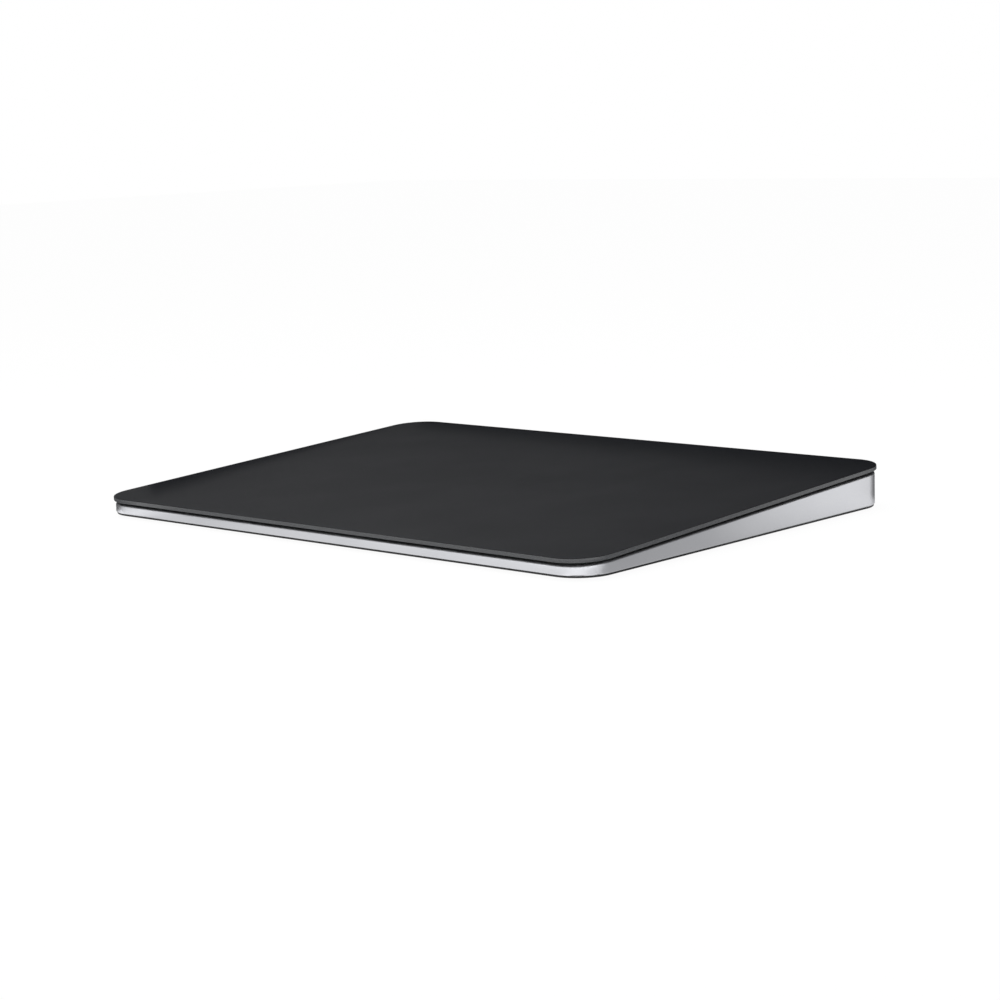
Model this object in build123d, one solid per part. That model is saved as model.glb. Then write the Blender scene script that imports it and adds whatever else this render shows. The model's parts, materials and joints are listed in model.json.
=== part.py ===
# Desk trackpad: a wedge-shaped aluminium body carrying a glass touch plate that rests on four
# force beams and is nudged sideways by a haptic drive. Millimetres, +Z up, +Y towards the tall
# rear edge. The origin is on the desk, under the middle of the outline.
import os
from math import atan2, cos, degrees, sin

from build123d import *

# Overall sizes
overall_width = 160.0
overall_depth = 114.9
front_height = 4.9
rear_height = 10.9
corner_radius = 9.0

# Touch plate stack, each layer measured square to the touch face
glass_thickness = 1.0
glass_edge_chamfer = 0.12
bond_thickness = 0.1
sensor_board_thickness = 0.6
back_plate_thickness = 0.5

# Movement of the touch plate and the power switch
press_travel = 0.2
haptic_travel = 0.15
press_reserve = 0.1
switch_travel = 2.8

# Body shell
body_inset = 0.45
rim_gap = 0.5
rim_fillet = 0.7
bottom_chamfer = 0.2
wall = 1.6
deck_thickness = 0.8
ledge_width = 2.4
ledge_thickness = 0.8

# Base plate, its adhesive ring and the rubber feet
foot_stand = 0.65
foot_radius = 5.0
foot_seat_depth = 0.25
foot_edge = 0.25
foot_from_corner = 15.0
base_flange = 0.5
base_flange_inset = 0.25
base_edge_chamfer = 0.15
base_land = 0.25
base_side_clearance = 0.15
adhesive_thickness = 0.1

# Clearances shared by the inner parts
inner_clearance = 0.25
side_gap = 0.45
side_clearance = haptic_travel + side_gap
screw_clearance = 0.05
rib = 3.0
overrun = 1.0

# The touch face slopes up to the rear. Its tilt lets the glass's outer corners reach the overall depth.
rise = rear_height - front_height
tilt = atan2(rise, overall_depth - glass_thickness * rise / overall_depth)
glass_length = rise / sin(tilt)
middle_height = (front_height + rear_height) / 2
slope = Location((0, -glass_thickness / 2 * sin(tilt), middle_height), (degrees(tilt), 0, 0))

# Depths under the touch face at which each layer ends
bond_depth = glass_thickness
sensor_depth = bond_depth + bond_thickness
back_plate_depth = sensor_depth + sensor_board_thickness
stack_depth = back_plate_depth + back_plate_thickness
rim_depth = glass_thickness + rim_gap

# Heights over the desk at which each layer of the bottom ends
body_bottom = foot_stand + base_flange
floor_height = body_bottom + base_land
ledge_bottom = floor_height + adhesive_thickness
ledge_top = ledge_bottom + ledge_thickness

# Half sizes of the inner space in plan
inner_half_width = overall_width / 2 - body_inset - wall
inner_half_depth = overall_depth / 2 - body_inset - wall

# One slab of this size is larger than the whole trackpad and serves for every half-space cut
beyond = 2 * (overall_width + overall_depth)


def outline(inset):
    """The rounded outline of the trackpad in plan, taken in by inset."""
    return RectangleRounded(
        overall_width - 2 * inset, overall_depth - 2 * inset, corner_radius - inset
    )


def under_face(depth):
    """All space more than depth under the touch face."""
    half = Box(beyond, beyond, beyond, align=(Align.CENTER, Align.CENTER, Align.MAX))
    return slope * Pos(0, 0, -depth) * half


def over_face(depth):
    """All space less than depth under the touch face."""
    half = Box(beyond, beyond, beyond, align=(Align.CENTER, Align.CENTER, Align.MIN))
    return slope * Pos(0, 0, -depth) * half


def sheet(face, x, y, depth, thickness):
    """A flat layer parallel to the touch face, its top lying depth under that face."""
    return slope * Pos(x, y, -depth) * extrude(face, amount=-thickness)


def upright(face, bottom, top):
    """A prism standing square to the desk between two heights."""
    return Pos(0, 0, bottom) * extrude(face, amount=top - bottom)


def room_at(y):
    """Depth under the touch face that is free at this place along the slope."""
    return (middle_height + y * sin(tilt) - floor_height - inner_clearance) / cos(tilt)


def deep_from(depth, level):
    """Place along the slope behind which a depth under the touch face stays over a level."""
    return (level + depth * cos(tilt) - middle_height) / sin(tilt)


# Glass, black-backed and polished on its edges
def make_touch_glass():
    plate = sheet(
        RectangleRounded(overall_width, glass_length, corner_radius), 0, 0, 0, glass_thickness
    )
    rims = plate.faces().filter_by(slope_normal).edges()
    return chamfer(rims, glass_edge_chamfer)


slope_normal = Axis((0, 0, 0), (0, -sin(tilt), cos(tilt)))

# The bonded layers are taken in so that they drop inside the body's wall with room to slide
board_edge = 0.7
board_inset = body_inset + wall + side_clearance
bond_inset = board_inset / 2
plate_inset = board_inset + board_edge


def stack_face(inset):
    """A layer outline in the plane of the touch face."""
    return RectangleRounded(
        overall_width - 2 * inset, glass_length - 2 * inset, corner_radius - inset
    )


def make_glass_bond():
    return sheet(stack_face(bond_inset), 0, 0, bond_depth, bond_thickness)


def make_sensor_board():
    return sheet(stack_face(board_inset), 0, 0, sensor_depth, sensor_board_thickness)


# Force beams: a steel leaf at each corner, screwed at both ends, whose tongue carries the glass
beam_length = 20.0
beam_width = 12.0
beam_thickness = 0.4
beam_corner = 1.5
beam_margin = 1.5
tongue_length = 10.0
tongue_width = 6.0
tongue_slot = 0.8
gel_length = 7.0
gel_width = 5.0
gel_thickness = 0.4
gauge_length = 1.6
gauge_width = 3.2
gauge_thickness = 0.08
beam_screw_from_end = 2.0
beam_pad_length = 3.6

gel_depth = stack_depth
beam_depth = gel_depth + gel_thickness
deck_depth = beam_depth + beam_thickness + press_travel + press_reserve
deck_under = deck_depth + deck_thickness
front_sill_end = deep_from(deck_depth, ledge_top)
beam_x = inner_half_width - beam_margin - beam_length / 2
front_beam_y = front_sill_end + beam_margin / 2 + beam_width / 2
rear_beam_y = inner_half_depth - 2 * beam_margin - beam_width / 2
beam_places = {
    "front_left": (-beam_x, front_beam_y),
    "front_right": (beam_x, front_beam_y),
    "rear_left": (-beam_x, rear_beam_y),
    "rear_right": (beam_x, rear_beam_y),
}
beam_screw_x = beam_length / 2 - beam_screw_from_end

# The battery bay fits between the beams, with a lane for flat cables on each side of it
bay_half_width = beam_x - beam_length / 2 - rib
cable_lane_x = bay_half_width + rib / 2
cable_width = 2.4
cable_thickness = 0.12

# Small screws. They and their holes have few sides, which keeps so many of them light.
screw_radius = 0.6
screw_head_radius = 1.25
screw_head = 0.35
screw_socket_radius = 0.5
screw_socket_depth = 0.2
screw_sides = 10
socket_sides = 6


def round_face(radius):
    """The section of a screw or of a hole for one."""
    return RegularPolygon(radius, screw_sides)


def screw(length):
    """A low-headed screw pointing up: the head's top is at zero and the shank rises from it."""
    head = upright(round_face(screw_head_radius), -screw_head, 0)
    shank = upright(round_face(screw_radius), 0, length)
    socket_face = RegularPolygon(screw_socket_radius, socket_sides)
    socket = upright(socket_face, -screw_head, screw_socket_depth - screw_head)
    return head + shank - socket


def screw_hole(length):
    """The hole a screw's shank passes through, from its head up."""
    return upright(round_face(screw_radius + screw_clearance), 0, length)


def beam_screw_places():
    """Slope places of the two screws of every beam."""
    return [(x + side * beam_screw_x, y) for x, y in beam_places.values() for side in (-1, 1)]


def make_force_beam(x, y):
    leaf = Rectangle(beam_length, beam_width)
    leaf = chamfer(leaf.vertices(), beam_corner)
    around = Pos(tongue_slot / 2, 0) * Rectangle(
        tongue_length + tongue_slot, tongue_width + 2 * tongue_slot
    )
    tongue = Rectangle(tongue_length, tongue_width)
    holes = [
        Pos(side * beam_screw_x, 0) * round_face(screw_radius + screw_clearance)
        for side in (-1, 1)
    ]
    return sheet(leaf - (around - tongue) - holes, x, y, beam_depth, beam_thickness)


def make_gel_pad(x, y):
    pad = Rectangle(gel_length, gel_width)
    reach = (tongue_length - gel_length) / 2
    return sheet(pad, x + reach, y, gel_depth, gel_thickness)


def make_strain_gauge(x, y):
    film = Rectangle(gauge_length, gauge_width)
    root = tongue_length / 2 - gauge_length
    return sheet(film, x - root, y, beam_depth - gauge_thickness, gauge_thickness)


beam_screw_length = deck_under - screw_head - beam_depth


def make_beam_screws():
    seats = [slope * Pos(x, y, -deck_under + screw_head) for x, y in beam_screw_places()]
    return Compound(children=[seat * screw(beam_screw_length) for seat in seats])


# Rear board with the charging port and the power switch
port_shell_width = 8.94
port_shell_height = 3.16
port_shell_wall = 0.3
port_shell_length = 7.3
port_recess = 0.15
port_clearance = 0.12
tongue_blade_width = 6.69
tongue_blade_height = 0.7
tongue_blade_length = 4.45
port_plug_length = 1.3
contact_width = 0.25
contact_length = 3.2
contact_pitch = 0.5
contact_count = 12
contact_depth = 0.05
rear_board_thickness = 0.6
rear_board_length = 4.6
rear_board_lift = 0.1
rear_board_overhang = 8.0
post_radius = 1.5

port_z = ledge_top + rear_board_lift + rear_board_thickness + port_shell_height / 2
rear_board_bottom = ledge_top + rear_board_lift
rear_board_top = rear_board_bottom + rear_board_thickness
rear_outer_y = overall_depth / 2 - body_inset
port_mouth_y = rear_outer_y - port_recess
port_inner_y = port_mouth_y - port_shell_length

switch_from_cable = 17.0
knob_length = 5.2
knob_height = 2.4
knob_clearance = 0.2
knob_recess = 0.2
knob_chamfer = 0.2
carriage_thickness = 0.8
carriage_height = 3.8
carriage_overlap = 1.2
carriage_gap = 0.15
switch_lever = 1.4
switch_lever_height = 1.0
switch_lever_length = 1.6
switch_base_length = 3.4
switch_base_height = 3.2
indicator_thickness = 0.1

slot_length = knob_length + switch_travel + 2 * knob_clearance
slot_height = knob_height + 2 * knob_clearance
carriage_outer_y = inner_half_depth - carriage_gap
carriage_inner_y = carriage_outer_y - carriage_thickness
carriage_length = slot_length + switch_travel + 2 * carriage_overlap
rear_board_y = carriage_inner_y - carriage_gap - rear_board_length / 2
switch_x = switch_from_cable - cable_lane_x
rear_board_left = -cable_lane_x - cable_width / 2 - inner_clearance
rear_board_right = port_shell_width / 2 + rear_board_overhang
post_y = rear_board_y - rear_board_length / 2 + post_radius + inner_clearance
post_places = [
    port_shell_width / 2 + rear_board_overhang / 2,
    -port_shell_width / 2 - rear_board_overhang / 2,
    switch_x - carriage_length / 2 - post_radius - inner_clearance,
]


def rear_facing(face, x, z, y_outer, length):
    """A prism whose outer face looks to the rear at y_outer and which runs forward by length."""
    return Pos(x, y_outer, z) * extrude(Plane.XZ * face, amount=length)


def stadium(width, height):
    """A slot shape with fully rounded ends."""
    return SlotOverall(width, height)


def make_port_shell():
    tube = stadium(port_shell_width, port_shell_height) - stadium(
        port_shell_width - 2 * port_shell_wall, port_shell_height - 2 * port_shell_wall
    )
    return rear_facing(tube, 0, port_z, port_mouth_y, port_shell_length)


def make_port_tongue():
    plug = stadium(
        port_shell_width - 2 * port_shell_wall, port_shell_height - 2 * port_shell_wall
    )
    blade = Rectangle(tongue_blade_width, tongue_blade_height)
    body = rear_facing(plug, 0, port_z, port_inner_y + port_plug_length, port_plug_length)
    reach = tongue_blade_length + port_plug_length
    return body + rear_facing(blade, 0, port_z, port_inner_y + reach, reach)


def make_port_contacts():
    strips = []
    front = port_inner_y + port_plug_length + tongue_blade_length - contact_pitch
    for side in (-1, 1):
        z = port_z + side * (tongue_blade_height + contact_depth) / 2
        for i in range(contact_count):
            x = (i - (contact_count - 1) / 2) * contact_pitch
            strip = Rectangle(contact_width, contact_depth)
            strips.append(rear_facing(strip, x, z, front, contact_length))
    return Compound(children=strips)


def make_rear_board():
    centre_x = (rear_board_left + rear_board_right) / 2
    face = Pos(centre_x, rear_board_y) * Rectangle(
        rear_board_right - rear_board_left, rear_board_length
    )
    board = upright(face, rear_board_bottom, rear_board_top)
    for x in post_places:
        board -= Pos(x, post_y, rear_board_bottom) * screw_hole(rear_board_thickness)
    return board


rear_screw_length = 2.4


def make_rear_screws():
    seats = [Pos(x, post_y, rear_board_bottom) for x in post_places]
    return Compound(children=[seat * screw(rear_screw_length) for seat in seats])


def make_switch_knob():
    reach = rear_outer_y - knob_recess - carriage_outer_y
    knob = rear_facing(
        stadium(knob_length, knob_height), knob_rest_x, port_z, rear_outer_y - knob_recess, reach
    )
    face = knob.faces().sort_by(Axis.Y)[-1]
    return chamfer(face.edges(), knob_chamfer)


knob_rest_x = switch_x - switch_travel / 2


def make_switch_carriage():
    plate = Rectangle(carriage_length, carriage_height)
    body = rear_facing(plate, knob_rest_x, port_z, carriage_outer_y, carriage_thickness)
    lever = Rectangle(switch_lever, switch_lever_height)
    return body + rear_facing(
        lever, knob_rest_x, port_z, carriage_inner_y, switch_lever_length
    )


def make_switch_indicator():
    film = Rectangle(switch_travel + knob_clearance, slot_height)
    x = knob_rest_x - (knob_length + switch_travel + knob_clearance) / 2
    return rear_facing(
        film, x, port_z, carriage_outer_y + indicator_thickness, indicator_thickness
    )


def make_switch_base():
    length = carriage_length - 2 * carriage_overlap
    outer_y = carriage_inner_y - carriage_gap
    face = Pos(switch_x, outer_y - switch_base_length / 2) * Rectangle(
        length, switch_base_length
    )
    block = upright(face, rear_board_top, rear_board_top + switch_base_height)
    slot = Rectangle(
        switch_lever + switch_travel + 2 * knob_clearance,
        switch_lever_height + 2 * knob_clearance,
    )
    return block - rear_facing(
        slot, switch_x, port_z, outer_y, switch_lever_length + knob_clearance
    )


# Haptic drive: four coils on iron posts in a steel tray, under a plate fixed to the touch stack
haptic_length = 21.0
coil_count = 4
coil_width = 11.4
coil_pitch = 12.0
coil_wall = 2.6
coil_clearance = 0.25
coil_height = 1.05
post_lift = 0.2
yoke_thickness = 0.4
tray_thickness = 0.4
tray_ear = 6.0
tray_screw_from_edge = 4.0
attraction_thickness = 0.6
air_gap = 0.35

haptic_half_width = coil_count * coil_pitch / 2
attraction_depth = stack_depth
post_top_depth = attraction_depth + attraction_thickness + press_travel + air_gap
coil_top_depth = post_top_depth + post_lift
yoke_depth = coil_top_depth + coil_height
tray_floor_depth = yoke_depth + yoke_thickness
tray_bottom_depth = tray_floor_depth + tray_thickness
haptic_front = deep_from(tray_bottom_depth, floor_height + inner_clearance)
haptic_rear = haptic_front + haptic_length
haptic_y = (haptic_front + haptic_rear) / 2
coil_length = haptic_length - 2 * side_clearance
tray_half_width = haptic_half_width + side_clearance + tray_thickness
tray_screw_x = tray_half_width + tray_ear / 2
tray_screw_y = haptic_length / 2 - tray_screw_from_edge
coil_places = [(i - (coil_count - 1) / 2) * coil_pitch for i in range(coil_count)]
coil_names = ["coil_outer_left", "coil_inner_left", "coil_inner_right", "coil_outer_right"]


def make_attraction_plate():
    width = 2 * haptic_half_width
    return sheet(
        RectangleRounded(width, coil_length, side_clearance),
        0,
        haptic_y,
        attraction_depth,
        attraction_thickness,
    )


def make_haptic_coil(x):
    outer = RectangleRounded(coil_width, coil_length, coil_wall)
    opening = Rectangle(coil_width - 2 * coil_wall, coil_length - 2 * coil_wall)
    return sheet(outer - opening, x, haptic_y, coil_top_depth, coil_height)


def make_haptic_core():
    yoke = sheet(
        Rectangle(2 * haptic_half_width, coil_length), 0, haptic_y, yoke_depth, yoke_thickness
    )
    face = Rectangle(
        coil_width - 2 * (coil_wall + coil_clearance),
        coil_length - 2 * (coil_wall + coil_clearance),
    )
    height = yoke_depth - post_top_depth
    posts = [sheet(face, x, haptic_y, post_top_depth, height) for x in coil_places]
    return yoke + posts


def tray_screw_places():
    return [
        (sx * tray_screw_x, haptic_y + sy * tray_screw_y) for sx in (-1, 1) for sy in (-1, 1)
    ]


def make_haptic_tray():
    floor_face = Rectangle(2 * tray_half_width, haptic_length)
    tray = sheet(floor_face, 0, haptic_y, tray_floor_depth, tray_thickness)
    side_height = tray_bottom_depth - deck_under
    for side in (-1, 1):
        wall_x = side * (tray_half_width - tray_thickness / 2)
        wall_face = Rectangle(tray_thickness, haptic_length)
        tray += sheet(wall_face, wall_x, haptic_y, deck_under, side_height)
        ear_face = Rectangle(tray_ear, haptic_length)
        ear_x = side * (tray_half_width + tray_ear / 2)
        tray += sheet(ear_face, ear_x, haptic_y, deck_under, tray_thickness)
    for x, y in tray_screw_places():
        seat = slope * Pos(x, y, -deck_under - tray_thickness)
        tray -= seat * screw_hole(tray_thickness)
    return tray


thread_reach = 0.65


def make_haptic_screws():
    seats = [
        slope * Pos(x, y, -deck_under - tray_thickness) for x, y in tray_screw_places()
    ]
    return Compound(
        children=[seat * screw(tray_thickness + thread_reach) for seat in seats]
    )


# Battery pouch, hung under a raised part of the deck between the haptic drive and the rear board
battery_roof = 0.6
battery_roof_gap = 0.2
battery_glue = 0.15
battery_corner = 1.2
protection_length = 40.0
protection_width = 2.6
protection_thickness = 0.5
protection_chip_height = 0.5

battery_roof_top = stack_depth + press_travel + battery_roof_gap
battery_roof_under = battery_roof_top + battery_roof
battery_depth = battery_roof_under + battery_glue
battery_rear = rear_board_y - rear_board_length / 2 - 2 * inner_clearance
bay_front = haptic_rear + rib
bay_rear = inner_half_depth
protection_y = bay_front + side_clearance + protection_width / 2
battery_front = bay_front + protection_width + 2 * side_clearance
battery_length = battery_rear - battery_front
battery_thickness = room_at(battery_front) - battery_depth
battery_half_width = bay_half_width - side_clearance
protection_x = protection_length / 2 - battery_half_width


def make_battery():
    width = 2 * battery_half_width
    cell = sheet(
        Rectangle(width, battery_length),
        0,
        (battery_front + battery_rear) / 2,
        battery_depth,
        battery_thickness,
    )
    return fillet(cell.edges().filter_by(Axis.X), battery_corner)


def make_battery_glue():
    inset = 2 * battery_corner
    face = Rectangle((battery_half_width - inset) * 2 / 3, battery_length - 2 * inset)
    y = (battery_front + battery_rear) / 2
    x = battery_half_width / 2
    strips = [sheet(face, side * x, y, battery_roof_under, battery_glue) for side in (-1, 1)]
    return Compound(children=strips)


# The chips of the protection board stand on both sides of the battery lead. Their places are
# shares of the room there, counted from the lead outwards.
left_chip_shares = [0.72]
right_chip_shares = [0.30, 0.54, 0.82]
chip_length_share = 0.06
protection_under = battery_roof_under + protection_thickness


def make_protection_board():
    board = sheet(
        Rectangle(protection_length, protection_width),
        protection_x,
        protection_y,
        battery_roof_under,
        protection_thickness,
    )
    for side, shares in ((-1, left_chip_shares), (1, right_chip_shares)):
        lead_edge = lead_x + side * sensor_cable_width / 2
        room = protection_x + side * protection_length / 2 - lead_edge
        chip = Rectangle(2 * chip_length_share * abs(room), protection_width / 2)
        for share in shares:
            x = lead_edge + share * room
            board += sheet(chip, x, protection_y, protection_under, protection_chip_height)
    return board


# Logic board under a window of the deck, left of the haptic drive
logic_thickness = 0.6
logic_gap = 1.5
logic_border = 2.6
chip_height = 0.8
shield_height = 0.9

logic_right = -(tray_half_width + tray_ear + logic_gap)
logic_left = -(inner_half_width - rib)
logic_front = deep_from(
    deck_under + logic_thickness + screw_head, floor_height + inner_clearance
)
logic_rear = bay_front - logic_gap
logic_x = (logic_left + logic_right) / 2
logic_y = (logic_front + logic_rear) / 2
logic_width = logic_right - logic_left
logic_length = logic_rear - logic_front
logic_screw_x = logic_width / 2 - logic_border / 2
logic_screw_y = logic_length / 2 - logic_border / 2


def logic_screw_places():
    return [
        (logic_x + sx * logic_screw_x, logic_y + sy * logic_screw_y)
        for sx in (-1, 1)
        for sy in (-1, 1)
    ]


def make_logic_board():
    board = sheet(
        Rectangle(logic_width, logic_length), logic_x, logic_y, deck_under, logic_thickness
    )
    for x, y in logic_screw_places():
        seat = slope * Pos(x, y, -deck_under - logic_thickness)
        board -= seat * screw_hole(logic_thickness)
    return board


def make_logic_screws():
    seats = [
        slope * Pos(x, y, -deck_under - logic_thickness) for x, y in logic_screw_places()
    ]
    return Compound(
        children=[seat * screw(logic_thickness + thread_reach) for seat in seats]
    )


# Place of each chip from the middle of the board, then its sides, as shares of the board's
# width and length by turns
chip_shares = [
    (-0.16, 0.20, 0.16, 0.24),
    (0.10, 0.24, 0.11, 0.16),
    (0.28, 0.20, 0.08, 0.14),
    (-0.30, 0.24, 0.07, 0.18),
    (0.30, -0.04, 0.08, 0.09),
]
shield_shares = (-0.16, -0.20, 0.42, 0.30)


def board_block(shares, height):
    x_share, y_share, width_share, length_share = shares
    return sheet(
        Rectangle(width_share * logic_width, length_share * logic_length),
        logic_x + x_share * logic_width,
        logic_y + y_share * logic_length,
        deck_under - height,
        height,
    )


def make_logic_chips():
    return Compound(children=[board_block(shares, chip_height) for shares in chip_shares])


def make_radio_shield():
    return board_block(shield_shares, shield_height)


# Touch controller chips on the underside of the sensor board, and its plug
touch_chip_side = 7.0
touch_chip_height = 0.8
touch_chip_gap = 2.0
touch_chip_count = 3
connector_length = 9.0
connector_width = 3.0
connector_height = 0.8

touch_chip_x = (tray_half_width + bay_half_width) / 2
touch_chip_window = touch_chip_side + 2 * side_clearance
connector_x = logic_right - logic_border - connector_length / 2 - side_clearance
connector_y = logic_y - logic_length / 5


def touch_chip_ys():
    step = touch_chip_side + touch_chip_gap
    return [haptic_y + (i - (touch_chip_count - 1) / 2) * step for i in range(touch_chip_count)]


def make_touch_chips():
    face = Rectangle(touch_chip_side, touch_chip_side)
    chips = [
        sheet(face, touch_chip_x, y, back_plate_depth, touch_chip_height)
        for y in touch_chip_ys()
    ]
    return Compound(children=chips)


def make_sensor_connector():
    face = Rectangle(connector_length, connector_width)
    return sheet(face, connector_x, connector_y, back_plate_depth, connector_height)


def make_back_plate():
    face = stack_face(plate_inset)
    for y in touch_chip_ys():
        face -= Pos(touch_chip_x, y) * Rectangle(touch_chip_window, touch_chip_window)
    face -= Pos(connector_x, connector_y) * Rectangle(
        connector_length + 2 * side_clearance, connector_width + 2 * side_clearance
    )
    return sheet(face, 0, 0, back_plate_depth, back_plate_thickness)


# Flat flex cables: thin strips that run along the deck and step down to the boards
sensor_cable_width = 4.0
cable_plug = 0.35
cable_overhang = 0.5
cable_tab = 2.0
cable_depth = deck_depth - cable_thickness
window_front = logic_y - logic_length / 2 + logic_border
window_rear = logic_y + logic_length / 2 - logic_border
window_right = logic_x + logic_width / 2 - logic_border


def strip(points, width, depth):
    """A flat cable that follows points along the slope."""
    return sheet(trace(Polyline(*points), width), 0, 0, depth, cable_thickness)


def make_sensor_flex():
    top = back_plate_depth + connector_height + press_travel + press_reserve
    plug = Rectangle(connector_length, connector_width)
    tail = Rectangle(sensor_cable_width, connector_width)
    tail_top = top + cable_plug
    head = sheet(plug, connector_x, connector_y, top, cable_plug)
    return head + sheet(tail, connector_x, connector_y, tail_top, deck_under - tail_top)


def make_gauge_flex():
    tab_x = beam_x - beam_screw_x + beam_pad_length / 2 + cable_width / 2 + inner_clearance
    front_lane = front_beam_y + beam_width / 2 + side_clearance + cable_width / 2
    rear_lane = rear_beam_y - beam_width / 2 - side_clearance - cable_width / 2
    front_end = window_front + cable_overhang
    rear_end = window_rear - cable_overhang
    across = [
        (tab_x, front_beam_y),
        (tab_x, front_lane),
        (-tab_x, front_lane),
        (-tab_x, front_beam_y),
    ]
    along_right = [
        (tab_x, rear_beam_y),
        (tab_x, rear_lane),
        (cable_lane_x, rear_lane),
        (cable_lane_x, front_lane),
    ]
    along_left = [
        (-tab_x, rear_beam_y),
        (-tab_x, rear_lane),
        (-cable_lane_x, rear_lane),
        (-cable_lane_x, rear_end),
    ]
    to_board = [(-cable_lane_x, front_lane), (-cable_lane_x, front_end)]
    step = Rectangle(cable_width, cable_thickness)
    drop = deck_under - cable_depth
    front_cable = (
        strip(across, cable_width, cable_depth)
        + strip(along_right, cable_width, cable_depth)
        + strip(to_board, cable_width, cable_depth)
        + sheet(step, -cable_lane_x, front_end - cable_thickness / 2, cable_depth, drop)
    )
    rear_cable = strip(along_left, cable_width, cable_depth) + sheet(
        step, -cable_lane_x, rear_end + cable_thickness / 2, cable_depth, drop
    )
    return Compound(children=[front_cable, rear_cable])


def make_haptic_flex():
    coil_x = coil_places[0] - coil_width / 2 + coil_wall / 2
    board_x = window_right - cable_overhang
    run = strip([(coil_x, haptic_y), (board_x, haptic_y)], sensor_cable_width, cable_depth)
    step = Rectangle(cable_thickness, sensor_cable_width)
    run += sheet(
        step, coil_x - cable_thickness / 2, haptic_y, cable_depth, coil_top_depth - cable_depth
    )
    run += sheet(
        step, board_x + cable_thickness / 2, haptic_y, cable_depth, deck_under - cable_depth
    )
    return run


def make_rear_flex():
    rear_end = rear_board_y - rear_board_length / 2 + cable_tab
    run = strip([(-cable_lane_x, logic_rear), (-cable_lane_x, rear_end)], cable_width, deck_under)
    lane = Pos(-cable_lane_x, rear_end)
    step = lane * Rectangle(cable_width, cable_thickness)
    plug = lane * Rectangle(cable_width, cable_tab)
    run += upright(step, rear_board_top, rear_height) & under_face(deck_under)
    return run + upright(plug, rear_board_top, rear_board_top + cable_plug)


lead_x = logic_right - sensor_cable_width


def make_battery_lead():
    step_y = bay_front + inner_clearance
    low = [(lead_x, logic_rear), (lead_x, step_y)]
    high = [(lead_x, step_y), (lead_x, protection_y)]
    step = Rectangle(sensor_cable_width, cable_thickness)
    drop = deck_under + cable_thickness - protection_under
    lead = strip(low, sensor_cable_width, deck_under)
    lead += strip(high, sensor_cable_width, protection_under)
    return lead + sheet(step, lead_x, step_y, protection_under, drop)


# Antenna on a plastic carrier at the right of the rear wall, over the plastic base plate
antenna_length = 26.0
antenna_width = 4.4
antenna_height = 1.6
antenna_foil = 0.1
antenna_x = battery_half_width - antenna_length / 2


def make_antenna_carrier():
    y = rear_board_y
    block = sheet(
        Rectangle(antenna_length, antenna_width), antenna_x, y, deck_under, antenna_height
    )
    notch = Rectangle(antenna_length / 8, antenna_width / 2)
    for i in (-1, 0, 1):
        x = antenna_x + i * antenna_length / 4
        block -= sheet(notch, x, y, deck_under, antenna_height / 2)
    return block


def make_antenna():
    trace_width = antenna_width / 6
    y = rear_board_y
    face = Pos(0, antenna_width / 4) * Rectangle(antenna_length * 3 / 4, trace_width)
    face += Pos(0, -antenna_width / 4) * Rectangle(antenna_length * 3 / 4, trace_width)
    for i in (-1, 1):
        face += Pos(i * antenna_length / 4, 0) * Rectangle(trace_width, antenna_width / 2)
    return sheet(face, antenna_x, y, deck_under + antenna_height, antenna_foil)


# Aluminium body: an open wedge frame with a sloping deck, milled from one piece
def make_enclosure():
    shell = upright(outline(body_inset), body_bottom, rear_height)
    shell &= under_face(rim_depth)
    top_face = shell.faces().sort_by(slope_normal)[-1]
    shell = fillet(top_face.edges(), rim_fillet)
    bottom_face = shell.faces().sort_by(Axis.Z)[0]
    shell = chamfer(bottom_face.edges(), bottom_chamfer)

    inner = outline(body_inset + wall)
    top_pocket = upright(inner, ledge_top, rear_height) & over_face(deck_depth)
    bay = Pos(0, (bay_front + bay_rear) / 2) * Rectangle(
        2 * bay_half_width, bay_rear - bay_front
    )
    raised = upright(bay, ledge_top, rear_height) & under_face(battery_roof_top)
    shell -= top_pocket - raised

    land_pocket = upright(inner, body_bottom, ledge_bottom)
    opening = upright(
        outline(body_inset + wall + ledge_width), ledge_bottom, rear_height
    ) & under_face(deck_under)
    cavity = upright(inner, ledge_top, rear_height) & under_face(deck_under)
    battery_pocket = upright(bay, ledge_top, rear_height) & under_face(battery_roof_under)
    shell -= land_pocket + opening + cavity + battery_pocket

    window = Pos(0, haptic_y) * Rectangle(
        2 * (tray_half_width - tray_thickness), haptic_length
    )
    shell -= sheet(window, 0, 0, rim_depth, rear_height)
    board_window = Rectangle(logic_width - 2 * logic_border, logic_length - 2 * logic_border)
    shell -= sheet(board_window, logic_x, logic_y, rim_depth, rear_height)

    for x, y in beam_screw_places():
        pad = Rectangle(beam_pad_length, beam_width)
        lift = deck_depth - beam_depth - beam_thickness
        shell += sheet(pad, x, y, beam_depth + beam_thickness, lift)
    for x, y in beam_screw_places():
        seat = slope * Pos(x, y, -deck_under)
        shell -= seat * upright(round_face(screw_head_radius + screw_clearance), 0, screw_head)
        shell -= seat * screw_hole(deck_under - beam_depth)
    for x, y in tray_screw_places() + logic_screw_places():
        shell -= slope * Pos(x, y, -deck_under) * screw_hole(deck_thickness)

    for x in post_places:
        post = upright(Pos(x, post_y) * round_face(post_radius), rear_board_top, rear_height)
        post &= under_face(battery_roof_under)
        shell += post
        shell -= Pos(x, post_y, rear_board_top) * screw_hole(rear_screw_length)

    shell -= rear_facing(
        stadium(port_shell_width + 2 * port_clearance, port_shell_height + 2 * port_clearance),
        0,
        port_z,
        rear_outer_y + overrun,
        wall + overrun + inner_clearance,
    )
    shell -= rear_facing(
        stadium(slot_length, slot_height),
        switch_x,
        port_z,
        rear_outer_y + overrun,
        wall + overrun + inner_clearance,
    )
    return shell


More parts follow.
